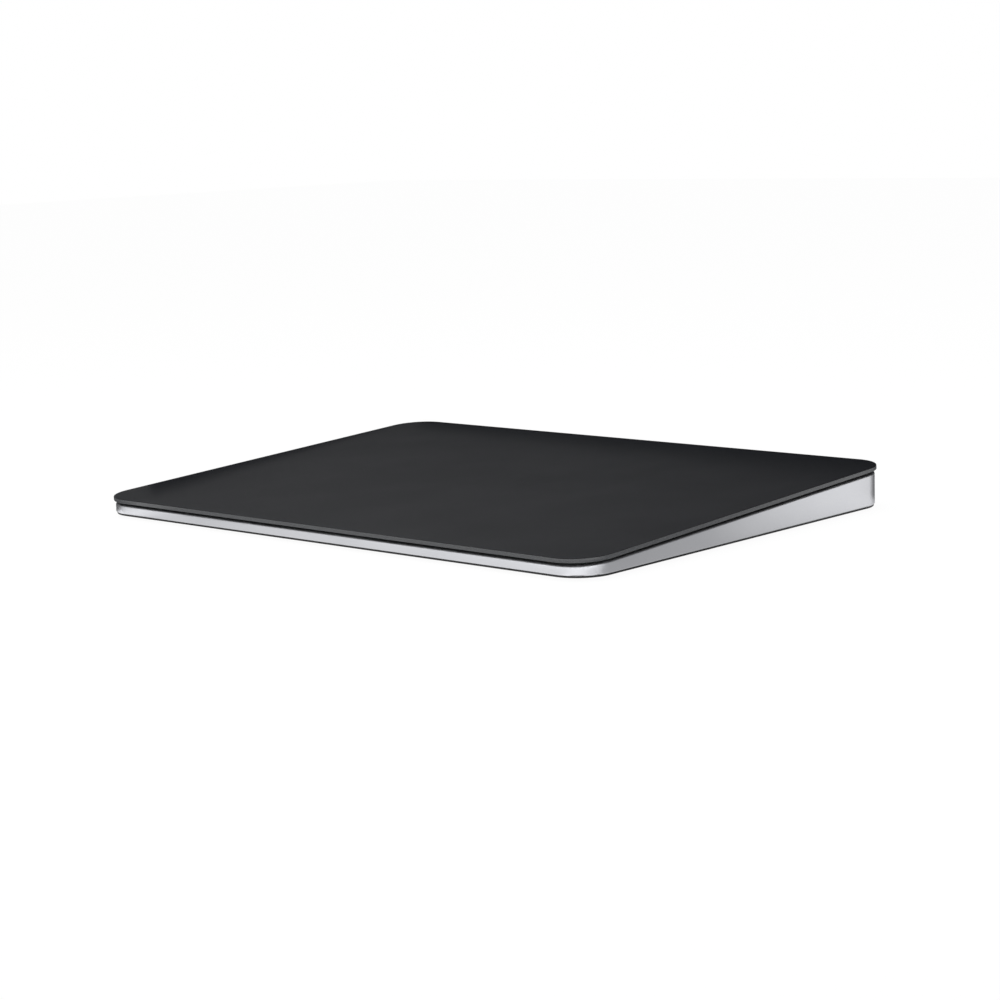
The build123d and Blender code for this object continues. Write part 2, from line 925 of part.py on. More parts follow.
# Base plate: a dark plastic sheet whose raised land drops into the body, with a seat for each foot
foot_x = overall_width / 2 - foot_from_corner
foot_y = overall_depth / 2 - foot_from_corner
foot_places = {
    "front_left": (-foot_x, -foot_y),
    "front_right": (foot_x, -foot_y),
    "rear_left": (-foot_x, foot_y),
    "rear_right": (foot_x, foot_y),
}


def make_base_plate():
    flange = upright(outline(body_inset + base_flange_inset), foot_stand, body_bottom)
    flange = chamfer(flange.faces().sort_by(Axis.Z)[0].edges(), base_edge_chamfer)
    land = upright(
        outline(body_inset + wall + base_side_clearance), body_bottom, floor_height
    )
    plate = flange + land
    for x, y in foot_places.values():
        seat = Pos(x, y) * Circle(foot_radius)
        plate -= upright(seat, foot_stand, foot_stand + foot_seat_depth)
    return plate


def make_base_adhesive():
    ring = outline(body_inset + wall + 2 * base_side_clearance) - outline(
        body_inset + wall + ledge_width
    )
    return upright(ring, floor_height, ledge_bottom)


def make_foot(x, y):
    disc = upright(Pos(x, y) * Circle(foot_radius), 0, foot_stand + foot_seat_depth)
    return chamfer(disc.faces().sort_by(Axis.Z)[0].edges(), foot_edge)


parts = {
    "enclosure": make_enclosure(),
    "base_plate": make_base_plate(),
    "base_adhesive": make_base_adhesive(),
    "battery_cell": make_battery(),
    "battery_adhesive": make_battery_glue(),
    "battery_protection_board": make_protection_board(),
    "battery_lead": make_battery_lead(),
    "logic_board": make_logic_board(),
    "logic_chips": make_logic_chips(),
    "radio_shield": make_radio_shield(),
    "logic_screws": make_logic_screws(),
    "rear_board": make_rear_board(),
    "rear_board_screws": make_rear_screws(),
    "rear_flex": make_rear_flex(),
    "port_shell": make_port_shell(),
    "port_tongue": make_port_tongue(),
    "port_contacts": make_port_contacts(),
    "switch_base": make_switch_base(),
    "switch_knob": make_switch_knob(),
    "switch_carriage": make_switch_carriage(),
    "switch_indicator": make_switch_indicator(),
    "antenna_carrier": make_antenna_carrier(),
    "antenna": make_antenna(),
    "haptic_tray": make_haptic_tray(),
    "haptic_core": make_haptic_core(),
    "haptic_screws": make_haptic_screws(),
    "attraction_plate": make_attraction_plate(),
    "touch_glass": make_touch_glass(),
    "glass_bond": make_glass_bond(),
    "sensor_board": make_sensor_board(),
    "touch_chips": make_touch_chips(),
    "sensor_connector": make_sensor_connector(),
    "touch_back_plate": make_back_plate(),
    "sensor_flex": make_sensor_flex(),
    "gauge_flex": make_gauge_flex(),
    "haptic_flex": make_haptic_flex(),
    "beam_screws": make_beam_screws(),
}
for name, x in zip(coil_names, coil_places):
    parts["haptic_" + name] = make_haptic_coil(x)
for corner, (x, y) in beam_places.items():
    parts["force_beam_" + corner] = make_force_beam(x, y)
    parts["strain_gauge_" + corner] = make_strain_gauge(x, y)
    parts["gel_pad_" + corner] = make_gel_pad(x, y)
for corner, (x, y) in foot_places.items():
    parts["foot_" + corner] = make_foot(x, y)

os.makedirs("parts", exist_ok=True)
for name, part in parts.items():
    export_step(part, f"parts/{name}.step")
print("tilt", round(degrees(tilt), 3), "glass length", round(glass_length, 3))
print("battery", round(2 * battery_half_width, 1), battery_length, round(battery_thickness, 2))
print("coil height", round(coil_height, 2), "port height", round(port_z, 2))
print("nodes", len(parts))
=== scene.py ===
import json
from math import atan2, cos, radians, sin

import bpy
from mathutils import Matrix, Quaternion, Vector


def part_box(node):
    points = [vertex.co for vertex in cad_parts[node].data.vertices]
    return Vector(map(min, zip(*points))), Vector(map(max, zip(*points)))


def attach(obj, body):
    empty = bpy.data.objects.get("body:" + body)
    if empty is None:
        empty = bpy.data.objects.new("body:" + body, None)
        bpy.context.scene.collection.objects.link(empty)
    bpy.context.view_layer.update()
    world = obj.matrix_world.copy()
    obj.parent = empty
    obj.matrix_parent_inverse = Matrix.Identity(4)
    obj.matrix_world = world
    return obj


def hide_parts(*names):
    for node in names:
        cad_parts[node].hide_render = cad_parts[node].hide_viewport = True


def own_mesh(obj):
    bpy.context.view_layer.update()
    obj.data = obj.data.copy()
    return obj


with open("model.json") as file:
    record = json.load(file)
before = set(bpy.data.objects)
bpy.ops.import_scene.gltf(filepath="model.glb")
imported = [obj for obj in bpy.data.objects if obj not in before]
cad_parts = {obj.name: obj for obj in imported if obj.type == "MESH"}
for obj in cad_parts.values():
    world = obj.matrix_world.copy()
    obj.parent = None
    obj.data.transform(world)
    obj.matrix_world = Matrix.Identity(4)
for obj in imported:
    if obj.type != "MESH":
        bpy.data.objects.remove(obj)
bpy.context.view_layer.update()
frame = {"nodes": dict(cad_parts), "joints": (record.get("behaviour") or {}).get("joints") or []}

# Body
# One block of aluminium, milled to a wedge with a rounded rim, then bead-blasted and anodised.
# Its sloping deck carries everything else, and the glass floats over its rim.
alloy_colour = (0.79, 0.797, 0.828, 1)
alloy_worn = (0.88, 0.886, 0.905, 1)
alloy_shade = (0.74, 0.75, 0.783, 1)
blast_grain = 0.00016
blast_depth = 0.0000035
cloud_size = 0.03
worn_reach = 0.0003
fillet_turn = radians(32)
seam_gap = 1e-6
flat_turn = radians(0.1)
flat_weight = 100
edge_samples = 6


class Level:
    """A number or colour that varies over a surface. Sums written with it become Math nodes."""

    def __init__(self, finish, socket):
        self.finish = finish
        self.socket = socket

    def maths(self, operation, first, second=0.0):
        return self.finish.node("ShaderNodeMath", {"operation": operation}, {0: first, 1: second})

    def __add__(self, other):
        return self.maths("ADD", self, other)

    __radd__ = __add__

    def __mul__(self, other):
        return self.maths("MULTIPLY", self, other)

    __rmul__ = __mul__

    def __sub__(self, other):
        return self.maths("SUBTRACT", self, other)

    def __rsub__(self, other):
        return self.maths("SUBTRACT", other, self)

    def __truediv__(self, other):
        return self.maths("DIVIDE", self, other)

    def __pow__(self, other):
        return self.maths("POWER", self, other)

    def __gt__(self, other):
        return self.maths("GREATER_THAN", self, other)

    def __lt__(self, other):
        return self.maths("LESS_THAN", self, other)

    def __abs__(self):
        return self.maths("ABSOLUTE", self)

    def most(self, other):
        return self.maths("MAXIMUM", self, other)

    def least(self, other):
        return self.maths("MINIMUM", self, other)


class Finish:
    """The material of one kind of surface of the trackpad, built up from nodes."""

    def __init__(self, name, **constants):
        self.material = bpy.data.materials.new(name)
        self.material.use_nodes = True
        self.tree = self.material.node_tree
        self.shader = self.tree.nodes["Principled BSDF"]
        self.place = self.node("ShaderNodeTexCoord", {}, {}, "Object")
        for socket, value in constants.items():
            self.shader.inputs[socket.replace("_", " ")].default_value = value

    def node(self, kind, settings, inputs, output=0):
        """Adds any node, with its settings first and then the values or links of its sockets."""
        made = self.tree.nodes.new(kind)
        for setting, value in settings.items():
            setattr(made, setting, value)
        for socket, value in inputs.items():
            if isinstance(value, Level):
                self.tree.links.new(value.socket, made.inputs[socket])
            else:
                made.inputs[socket].default_value = value
        return Level(self, made.outputs[output])

    def show(self, **levels):
        """Links levels to the shader's own sockets."""
        for socket, level in levels.items():
            self.tree.links.new(level.socket, self.shader.inputs[socket.replace("_", " ")])

    def along(self, axis):
        """How far a point lies along one axis of the trackpad."""
        return self.node("ShaderNodeSeparateXYZ", {}, {0: self.place}, axis)

    def grain(self, size, detail=3.0, place=None):
        """Noise whose blotches are about size across, from 0 to 1."""
        inputs = {"Vector": place or self.place, "Scale": 1 / size, "Detail": detail}
        return self.node("ShaderNodeTexNoise", {}, inputs)

    def stretched(self, x, y, z):
        """The place scaled along each axis. Grain made from it is drawn out where that is small."""
        return self.node("ShaderNodeMapping", {}, {"Vector": self.place, "Scale": (x, y, z)})

    def waves(self, level, pitch):
        """A ridge that rises and falls once in each pitch, from 0 to 1."""
        settings = {"operation": "PINGPONG"}
        return self.node("ShaderNodeMath", settings, {0: level, 1: pitch / 2}) / (pitch / 2)

    def spread(self, level, low, high, start=0.35, stop=0.65):
        """The level between start and stop stretched over low to high."""
        inputs = {0: level, 1: start, 2: stop, 3: low, 4: high}
        return self.node("ShaderNodeMapRange", {}, inputs)

    def colour(self, mask, under, over):
        """The colour under where the mask is 0, and the colour over where it is 1."""
        inputs = {0: mask, 6: under, 7: over}
        return self.node("ShaderNodeMix", {"data_type": "RGBA"}, inputs, 2)

    def relief(self, height, depth):
        """Bumps from a level, where a level of 1 stands out by depth."""
        return self.node("ShaderNodeBump", {}, {"Height": height, "Distance": depth, "Strength": 1.0})

    def edges(self, reach):
        """Near 1 along sharp outside and inside edges, and 0 on the flats."""
        eased = self.node("ShaderNodeBevel", {"samples": edge_samples}, {"Radius": reach})
        plain = self.node("ShaderNodeNewGeometry", {}, {}, "Normal")
        settings = {"operation": "DOT_PRODUCT"}
        alike = self.node("ShaderNodeVectorMath", settings, {0: eased, 1: plain}, "Value")
        return self.spread(1 - alike, 0.0, 1.0, 0.01, 0.2)


def dress(finish, *nodes):
    """Gives carried-over solids their finish."""
    for name in nodes:
        solid = frame["nodes"][name].data
        solid.materials.clear()
        solid.materials.append(finish.material)


def select_only(piece):
    bpy.ops.object.select_all(action="DESELECT")
    piece.select_set(True)
    bpy.context.view_layer.objects.active = piece


def ease_shading(piece, turn):
    """Smooth shading that keeps flats flat and edges past the turn sharp."""
    select_only(piece)
    bpy.ops.object.shade_smooth_by_angle(angle=turn)
    even = piece.modifiers.new("flat faces", "WEIGHTED_NORMAL")
    even.keep_sharp = True
    even.weight = flat_weight
    bpy.ops.object.modifier_apply(modifier=even.name)


def joined_copy(node, name):
    """A copy of a solid whose loose triangles are joined, so that its curves shade smoothly."""
    piece = bpy.data.objects.new(name, frame["nodes"][node].data.copy())
    bpy.context.scene.collection.objects.link(piece)
    select_only(piece)
    bpy.ops.object.mode_set(mode="EDIT")
    bpy.ops.mesh.select_all(action="SELECT")
    bpy.ops.mesh.remove_doubles(threshold=seam_gap)
    bpy.ops.mesh.dissolve_limited(angle_limit=flat_turn)
    bpy.ops.object.mode_set(mode="OBJECT")
    ease_shading(piece, fillet_turn)
    return piece


def settle(piece, finish, body, slot, *nodes):
    """Paints a finished piece, lets it ride on its body and stand for its solids."""
    piece.data.materials.clear()
    piece.data.materials.append(finish.material)
    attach(piece, body)
    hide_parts(*nodes)


alloy = Finish("anodised_alloy", Metallic=1.0)
cloud = alloy.grain(cloud_size, 2.0)
blast = alloy.grain(blast_grain, 2.0)
worn = alloy.edges(worn_reach)
tone = alloy.colour(alloy.spread(cloud, 0.0, 0.6), alloy_colour, alloy_shade)
alloy.show(
    Base_Color=alloy.colour(worn * 0.5, tone, alloy_worn),
    Roughness=alloy.spread(blast, 0.33, 0.41) + alloy.spread(cloud, -0.02, 0.03) - worn * 0.05,
    Normal=alloy.relief(blast, blast_depth),
)
body_shell = joined_copy("enclosure", "body_shell")
settle(body_shell, alloy, "housing", "body_alloy", "enclosure")

# Force beams
# A leaf of rolled stainless steel at each corner, screwed down at both ends. A strain gauge is
# glued to its tongue, and a pad of clear silicone gel on the tongue carries the touch plate. Each
# pad is given a mesh of its own.
steel_colour = (0.56, 0.56, 0.55, 1)
steel_bright = (0.66, 0.66, 0.65, 1)
roll_line = 0.00012
roll_stretch = 0.02
roll_depth = 0.000002
haze_size = 0.008
cut_reach = 0.0001
screw_colour = (0.40, 0.40, 0.41, 1)
screw_bright = (0.58, 0.58, 0.58, 1)
turning_grain = 0.00008
turning_depth = 0.000003
screw_rim = 0.00008
gel_colour = (0.55, 0.56, 0.58, 1)
gel_cloudy = (0.66, 0.67, 0.69, 1)
bubble_size = 0.0006
bubble_depth = 0.00001
gauge_film = (0.30, 0.13, 0.035, 1)
gauge_foil = (0.55, 0.52, 0.47, 1)
gauge_pitch = 0.00016
gauge_length = 0.0032
gauge_speck = 0.00005
foil_depth = 0.000005
corners = ("front_left", "front_right", "rear_left", "rear_right")

press = next(joint for joint in frame["joints"] if joint["name"] == "plate_press")
press_axis = Vector(press["axis"])
tilt = atan2(press_axis.y, -press_axis.z)

rolled = Finish("rolled_steel", Metallic=1.0)
lines = rolled.grain(roll_line, 3.0, rolled.stretched(roll_stretch, 1, 1))
haze = rolled.grain(haze_size)
cut = rolled.edges(cut_reach)
rolled.show(
    Base_Color=rolled.colour(cut * 0.6 + rolled.spread(lines, 0.0, 0.3), steel_colour, steel_bright),
    Roughness=rolled.spread(lines, 0.24, 0.36) + rolled.spread(haze, 0.0, 0.08),
    Normal=rolled.relief(lines, roll_depth),
)
passivated = Finish("screw_steel", Metallic=1.0)
turned = passivated.grain(turning_grain, 3.0, passivated.stretched(1, 1, 0.2))
rubbed = passivated.edges(screw_rim)
passivated.show(
    Base_Color=passivated.colour(rubbed, screw_colour, screw_bright),
    Roughness=passivated.spread(turned, 0.28, 0.42) - rubbed * 0.06,
    Normal=passivated.relief(turned, turning_depth),
)
gel = Finish("silicone_gel", Transmission_Weight=0.5, IOR=1.41)
bubbles = gel.grain(bubble_size)
gel.show(
    Base_Color=gel.colour(gel.spread(bubbles, 0.0, 0.7), gel_colour, gel_cloudy),
    Roughness=gel.spread(bubbles, 0.18, 0.32),
    Normal=gel.relief(bubbles, bubble_depth),
)
gauge = Finish("strain_gauge", Specular_IOR_Level=0.5)
foil_lines = gauge.waves(gauge.along(0), gauge_pitch) > 0.45
foil = foil_lines * (gauge.waves(gauge.along(1), gauge_length) > 0.25)
speck = gauge.grain(gauge_speck, 2.0)
gauge.show(
    Base_Color=gauge.colour(foil, gauge_film, gauge_foil),
    Metallic=foil,
    Roughness=gauge.spread(speck, 0.30, 0.42),
    Normal=gauge.relief(foil, foil_depth),
)

beam_screws = joined_copy("beam_screws", "leaf_screws")
settle(beam_screws, passivated, "housing", "screw_steel", "beam_screws")
for corner in corners:
    dress(rolled, f"force_beam_{corner}")
    dress(gauge, f"strain_gauge_{corner}")
    pad = joined_copy(f"gel_pad_{corner}", f"silicone_pad_{corner}")
    settle(pad, gel, "press_carriage", "gel", f"gel_pad_{corner}")
    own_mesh(pad)

# Rear board
# A narrow circuit board on the ledge inside the rear wall, held by three screws. It carries the
# charging port and the body of the power switch.
mask_colour = (0.010, 0.032, 0.021, 1)
trace_colour = (0.022, 0.080, 0.050, 1)
pad_colour = (0.80, 0.60, 0.28, 1)
trace_pitch = 0.0006
patch_length = 0.007
patch_width = 0.0045
via_spacing = 0.0024
via_share = 0.085
board_weave = 0.0005
board_smear = 0.003
board_depth = 0.000012

board = Finish("circuit_board", Specular_IOR_Level=0.5)
flat = board.stretched(1, 1, 0)
patch = board.node(
    "ShaderNodeVectorMath", {"operation": "SNAP"}, {0: flat, 1: (patch_length, patch_width, 1)}
)
chance = board.node("ShaderNodeTexWhiteNoise", {"noise_dimensions": "3D"}, {"Vector": patch})
lengthwise = board.waves(board.along(1), trace_pitch) > 0.55
crosswise = board.waves(board.along(0), trace_pitch) > 0.55
traces = (lengthwise * (chance < 0.45)) + (crosswise * (chance > 0.62))
via_fields = {"Vector": flat, "Scale": 1 / via_spacing, "Randomness": 0.9}
via_distance = board.node("ShaderNodeTexVoronoi", {}, via_fields, "Distance")
pads = (via_distance < via_share) * (via_distance > via_share / 3)
weave = board.waves(board.along(0), board_weave) * board.waves(board.along(1), board_weave)
masked = board.colour(traces, mask_colour, trace_colour)
board.show(
    Base_Color=board.colour(pads, masked, pad_colour),
    Metallic=pads,
    Roughness=board.spread(board.grain(board_smear, 4.0), 0.26, 0.40) + weave * 0.04,
    Normal=board.relief(traces + pads + weave * 0.1, board_depth),
)
dress(board, "rear_board")
rear_screws = joined_copy("rear_board_screws", "post_screws")
settle(rear_screws, passivated, "housing", "screw_steel", "rear_board_screws")

# Charging port
# A deep-drawn steel sleeve with a rounded lip, a black resin tongue in it, and rows of gold plated
# contacts let into both sides of the tongue.
sleeve_colour = (0.60, 0.60, 0.59, 1)
sleeve_bright = (0.72, 0.72, 0.71, 1)
resin_colour = (0.012, 0.012, 0.014, 1)
resin_scuffed = (0.035, 0.035, 0.038, 1)
gold_colour = (0.83, 0.60, 0.24, 1)
gold_rubbed = (0.70, 0.63, 0.48, 1)
drag_grain = 0.00008
drag_depth = 0.000003
lip_reach = 0.00012
resin_fibre = 0.00012
resin_depth = 0.000005
resin_rim = 0.0001
wipe_grain = 0.0001
wipe_depth = 0.000001
gold_grain = 0.0002
stadium_sides = 50
sleeve_wall = 0.0003
sleeve_lip = 0.00007
lip_steps = 3
lip_turn = radians(60)
sleeve_turn = radians(40)

drawn = Finish("drawn_steel", Metallic=1.0)
drag = drawn.grain(drag_grain, 3.0, drawn.stretched(1, 0.03, 1))
lip = drawn.edges(lip_reach)
drawn.show(
    Base_Color=drawn.colour(lip, sleeve_colour, sleeve_bright),
    Roughness=drawn.spread(drag, 0.22, 0.36) - lip * 0.05,
    Normal=drawn.relief(drag, drag_depth),
)
resin = Finish("port_resin", Specular_IOR_Level=0.45)
fibres = resin.grain(resin_fibre, 4.0, resin.stretched(1, 0.3, 1))
rubbed = resin.edges(resin_rim)
resin.show(
    Base_Color=resin.colour(rubbed + resin.spread(fibres, 0.0, 0.3), resin_colour, resin_scuffed),
    Roughness=resin.spread(fibres, 0.42, 0.58),
    Normal=resin.relief(fibres, resin_depth),
)
gold = Finish("contact_gold", Metallic=1.0)
wipe = gold.grain(wipe_grain, 3.0, gold.stretched(1, 0.04, 1))
wiped = gold.spread(wipe, 0.0, 0.8, 0.5, 0.7)
gold.show(
    Base_Color=gold.colour(wiped, gold_colour, gold_rubbed),
    Roughness=gold.spread(gold.grain(gold_grain), 0.14, 0.24) + wiped * 0.06,
    Normal=gold.relief(wiped, wipe_depth),
)


def select_points(piece, wanted):
    """Selects the points of a piece whose places answer to wanted, and nothing else."""
    bpy.ops.object.mode_set(mode="EDIT")
    bpy.ops.mesh.select_mode(type="VERT")
    bpy.ops.mesh.select_all(action="DESELECT")
    bpy.ops.object.mode_set(mode="OBJECT")
    for point in piece.data.vertices:
        point.select = wanted(point.co)
    bpy.ops.object.mode_set(mode="EDIT")


def add_stadium(name, node, ends):
    """A prism along Y with fully rounded sides, in the place of a solid and as large."""
    low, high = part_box(node)
    centre, size = (low + high) / 2, high - low
    bpy.ops.object.select_all(action="DESELECT")
    bpy.ops.mesh.primitive_cylinder_add(
        vertices=stadium_sides,
        radius=size.z / 2,
        depth=size.y,
        end_fill_type=ends,
        location=centre,
        rotation=(radians(90), 0, 0),
    )
    piece = bpy.context.object
    piece.name = name
    bpy.ops.object.transform_apply(location=True, rotation=True, scale=True)
    for side in (-1, 1):
        select_points(piece, lambda place: side * (place.x - centre.x) > 0)
        bpy.ops.transform.translate(value=(side * (size.x - size.z) / 2, 0, 0))
        bpy.ops.object.mode_set(mode="OBJECT")
    return piece


def finish_with(piece, kind, **settings):
    """Adds one modifier to a piece and applies it."""
    select_only(piece)
    modifier = piece.modifiers.new(kind.lower(), kind)
    for setting, value in settings.items():
        setattr(modifier, setting, value)
    bpy.ops.object.modifier_apply(modifier=modifier.name)


sleeve = add_stadium("port_sleeve", "port_shell", "NOTHING")
finish_with(sleeve, "SOLIDIFY", thickness=sleeve_wall, offset=-1.0, use_even_offset=True)
finish_with(
    sleeve, "BEVEL", width=sleeve_lip, segments=lip_steps, limit_method="ANGLE", angle_limit=lip_turn
)
ease_shading(sleeve, sleeve_turn)
settle(sleeve, drawn, "housing", "port_steel", "port_shell")
dress(resin, "port_tongue")
dress(gold, "port_contacts")

# Power switch
# An anodised aluminium button on a black nylon carriage, which slides between the rear wall and
# the switch body. A printed film on the carriage shows green beside the button while it is on.
nylon_colour = (0.014, 0.014, 0.016, 1)
nylon_fibre = (0.050, 0.050, 0.054, 1)
film_green = (0.020, 0.45, 0.12, 1)
film_deep = (0.012, 0.33, 0.085, 1)
strand_size = 0.00015
strand_depth = 0.000006
nylon_rim = 0.00015
print_pitch = 0.00012
print_depth = 0.000002
print_smear = 0.0004
button_edge = 0.0002
button_steps = 5
button_turn = radians(35)
square_on = 0.9

nylon = Finish("filled_nylon", Specular_IOR_Level=0.45)
strands = nylon.grain(strand_size, 4.0, nylon.stretched(0.3, 1, 1))
polish = nylon.edges(nylon_rim)
nylon.show(
    Base_Color=nylon.colour(nylon.spread(strands, 0.0, 0.5) + polish * 0.4, nylon_colour, nylon_fibre),
    Roughness=nylon.spread(strands, 0.40, 0.56) - polish * 0.1,
    Normal=nylon.relief(strands, strand_depth),
)
printed = Finish("green_film", Coat_Weight=0.3, Coat_Roughness=0.1)
dots = printed.waves(printed.along(0), print_pitch) * printed.waves(printed.along(2), print_pitch)
printed.show(
    Base_Color=printed.colour(dots > 0.3, film_deep, film_green),
    Roughness=printed.spread(printed.grain(print_smear), 0.28, 0.42),
    Normal=printed.relief(dots, print_depth),
)


def select_faces(piece, wanted):
    """Selects the faces of a piece that answer to wanted, in face mode, and nothing else."""
    bpy.ops.object.mode_set(mode="EDIT")
    bpy.ops.mesh.select_mode(type="FACE")
    bpy.ops.mesh.select_all(action="DESELECT")
    bpy.ops.object.mode_set(mode="OBJECT")
    for face in piece.data.polygons:
        face.select = wanted(face)
    bpy.ops.object.mode_set(mode="EDIT")


button = add_stadium("slide_button", "switch_knob", "NGON")
select_faces(button, lambda face: face.normal.y > square_on)
bpy.ops.mesh.bevel(offset=button_edge, segments=button_steps, profile=0.5)
bpy.ops.object.mode_set(mode="OBJECT")
ease_shading(button, button_turn)
settle(button, alloy, "power_slider", "knob_alloy", "switch_knob")
dress(nylon, "switch_base", "switch_carriage")
dress(printed, "switch_indicator")

# Battery
# A lithium pouch wrapped in laminated foil, with knurled seals at both ends. Black adhesive film
# hangs it under the deck, and its protection board and lead face the logic board.
pouch_colour = (0.080, 0.080, 0.085, 1)
pouch_rubbed = (0.16, 0.16, 0.17, 1)
seal_width = 0.003
knurl_pitch = 0.0008
crease_size = 0.006
rub_size = 0.0012
pouch_depth = 0.00004
tape_colour = (0.012, 0.012, 0.012, 1)
tape_dusty = (0.035, 0.034, 0.033, 1)
tape_fibre = 0.0003
tape_dust = 0.004
tape_depth = 0.000015

pouch = Finish("foil_pouch", Metallic=0.55)
crease = pouch.grain(crease_size, 4.0, pouch.stretched(0.6, 1, 1))
ridges = 1 - abs(crease - 0.5) * 8
rubs = pouch.spread(pouch.grain(rub_size, 5.0), 0.0, 0.8, 0.52, 0.75)
pouch_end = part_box("battery_cell")[1].x - seal_width
sealed = abs(pouch.along(0)) > pouch_end
first_knurl = pouch.waves(pouch.along(0) + pouch.along(1), knurl_pitch)
knurl = first_knurl * pouch.waves(pouch.along(0) - pouch.along(1), knurl_pitch) * sealed
pouch.show(
    Base_Color=pouch.colour(rubs + knurl * 0.3, pouch_colour, pouch_rubbed),
    Roughness=pouch.spread(crease, 0.30, 0.42) + rubs * 0.06,
    Normal=pouch.relief(ridges * 0.25 + knurl, pouch_depth),
)
tape = Finish("adhesive_film", Specular_IOR_Level=0.35)
fibre = tape.grain(tape_fibre, 5.0)
dusty = tape.spread(tape.grain(tape_dust, 5.0), 0.0, 0.6, 0.5, 0.8)
tape.show(
    Base_Color=tape.colour(dusty, tape_colour, tape_dusty),
    Roughness=tape.spread(fibre, 0.55, 0.75),
    Normal=tape.relief(fibre, tape_depth),
)
dress(pouch, "battery_cell")
dress(tape, "battery_adhesive")
dress(board, "battery_protection_board")

# Logic board
# A circuit board under the window of the deck, screwed to the ledge, with its chips and a tinned
# steel lid over the radio.
epoxy_colour = (0.020, 0.020, 0.022, 1)
epoxy_fleck = (0.040, 0.040, 0.043, 1)
fleck_size = 0.00007
fleck_depth = 0.000004
chip_rim = 0.0001
tin_colour = (0.62, 0.61, 0.58, 1)
tin_dull = (0.50, 0.49, 0.47, 1)
spangle_size = 0.0009
spangle_depth = 0.000003
smudge_size = 0.006
tin_rim = 0.0001

epoxy = Finish("moulded_epoxy", Specular_IOR_Level=0.45)
fleck = epoxy.grain(fleck_size, 4.0)
bright_edge = epoxy.edges(chip_rim)
epoxy.show(
    Base_Color=epoxy.colour(epoxy.spread(fleck, 0.0, 0.7) + bright_edge * 0.3, epoxy_colour, epoxy_fleck),
    Roughness=epoxy.spread(fleck, 0.48, 0.64),
    Normal=epoxy.relief(fleck, fleck_depth),
)
tinned = Finish("tinned_steel", Metallic=1.0)
spangle_fields = {"Vector": tinned.place, "Scale": 1 / spangle_size}
spangle = tinned.node("ShaderNodeTexVoronoi", {}, spangle_fields, "Distance")
smudge = tinned.grain(smudge_size, 4.0)
tin_edge = tinned.edges(tin_rim)
dulled = tinned.spread(smudge, 0.0, 0.7) - tin_edge * 0.5
tinned.show(
    Base_Color=tinned.colour(dulled, tin_colour, tin_dull),
    Roughness=tinned.spread(smudge, 0.24, 0.36) + spangle * 0.06,
    Normal=tinned.relief(spangle, spangle_depth),
)
dress(board, "logic_board")
dress(epoxy, "logic_chips")
dress(tinned, "radio_shield")
logic_screws = joined_copy("logic_screws", "logic_board_screws")
settle(logic_screws, passivated, "housing", "screw_steel", "logic_screws")

# Flat cables
# Amber polyimide strips with copper lines in them. They lie along the deck, step down to the
# boards and join the touch plate, the gauges, the coils, the battery and the rear board.
film_amber = (0.33, 0.14, 0.035, 1)
film_line = (0.52, 0.25, 0.09, 1)
lane_pitch = 0.0005
lane_depth = 0.000012
film_gloss = 0.0008


def make_film(name, *axes):
    """Polyimide whose copper lines repeat along each given axis."""
    film = Finish(name, Specular_IOR_Level=0.5, Coat_Weight=0.2)
    gloss = film.grain(film_gloss, 4.0)
    height = film.waves(film.along(axes[0]), lane_pitch)
    for axis in axes[1:]:
        height = height * film.waves(film.along(axis), lane_pitch)
    lane = height > 0.5
    film.show(
        Base_Color=film.colour(lane * 0.8 + film.spread(gloss, 0.0, 0.2), film_amber, film_line),
        Roughness=film.spread(gloss, 0.25, 0.38),
        Normal=film.relief(film.spread(height, 0.0, 1.0, 0.3, 0.7), lane_depth),
    )
    return film


dress(make_film("film_with_lines_along", 0), "sensor_flex", "rear_flex", "battery_lead")
dress(make_film("film_with_lines_across", 1), "haptic_flex")
dress(make_film("film_with_lines_both_ways", 0, 1), "gauge_flex")

# Antenna
# A stamped strip of plated copper on a carrier of black nylon, at the right of the rear wall,
# where the plastic base plate lets the radio out.
copper_colour = (0.72, 0.36, 0.20, 1)
copper_dull = (0.50, 0.24, 0.14, 1)
bloom_size = 0.0015
plating_grain = 0.0001
plating_depth = 0.000003
stamped_reach = 0.0001

plated = Finish("plated_copper", Metallic=1.0)
bloom = plated.grain(bloom_size, 5.0)
stamped = plated.edges(stamped_reach)
plated.show(
    Base_Color=plated.colour(plated.spread(bloom, 0.0, 0.7) - stamped * 0.5, copper_colour, copper_dull),
    Roughness=plated.spread(bloom, 0.24, 0.42),
    Normal=plated.relief(plated.grain(plating_grain), plating_depth),
)
dress(plated, "antenna")
dress(nylon, "antenna_carrier")

# Haptic drive
# Four coils of enamelled copper wire on the posts of a sintered iron core, in a tinned steel tray
# that is screwed to the deck.
wire_pitch = 0.00025
wire_colour = (0.70, 0.29, 0.13, 1)
painted_groove_shade = (0.36, 0.12, 0.05, 1)
iron_colour = (0.26, 0.26, 0.27, 1)
iron_bright = (0.40, 0.40, 0.41, 1)
lacquer_size = 0.002
pore_size = 0.00018
pore_depth = 0.000012
iron_rim = 0.00015

sintered = Finish("sintered_iron", Metallic=1.0)
pores = sintered.grain(pore_size, 5.0)
iron_edge = sintered.edges(iron_rim)
sintered.show(
    Base_Color=sintered.colour(iron_edge + sintered.spread(pores, 0.0, 0.3), iron_colour, iron_bright),
    Roughness=sintered.spread(pores, 0.60, 0.42),
    Normal=sintered.relief(sintered.spread(pores, 0.0, 1.0, 0.3, 0.5), pore_depth),
)
dress(tinned, "haptic_tray")
dress(sintered, "haptic_core", "attraction_plate")
tray_screws = joined_copy("haptic_screws", "tray_screws")
settle(tray_screws, passivated, "housing", "screw_steel", "haptic_screws")


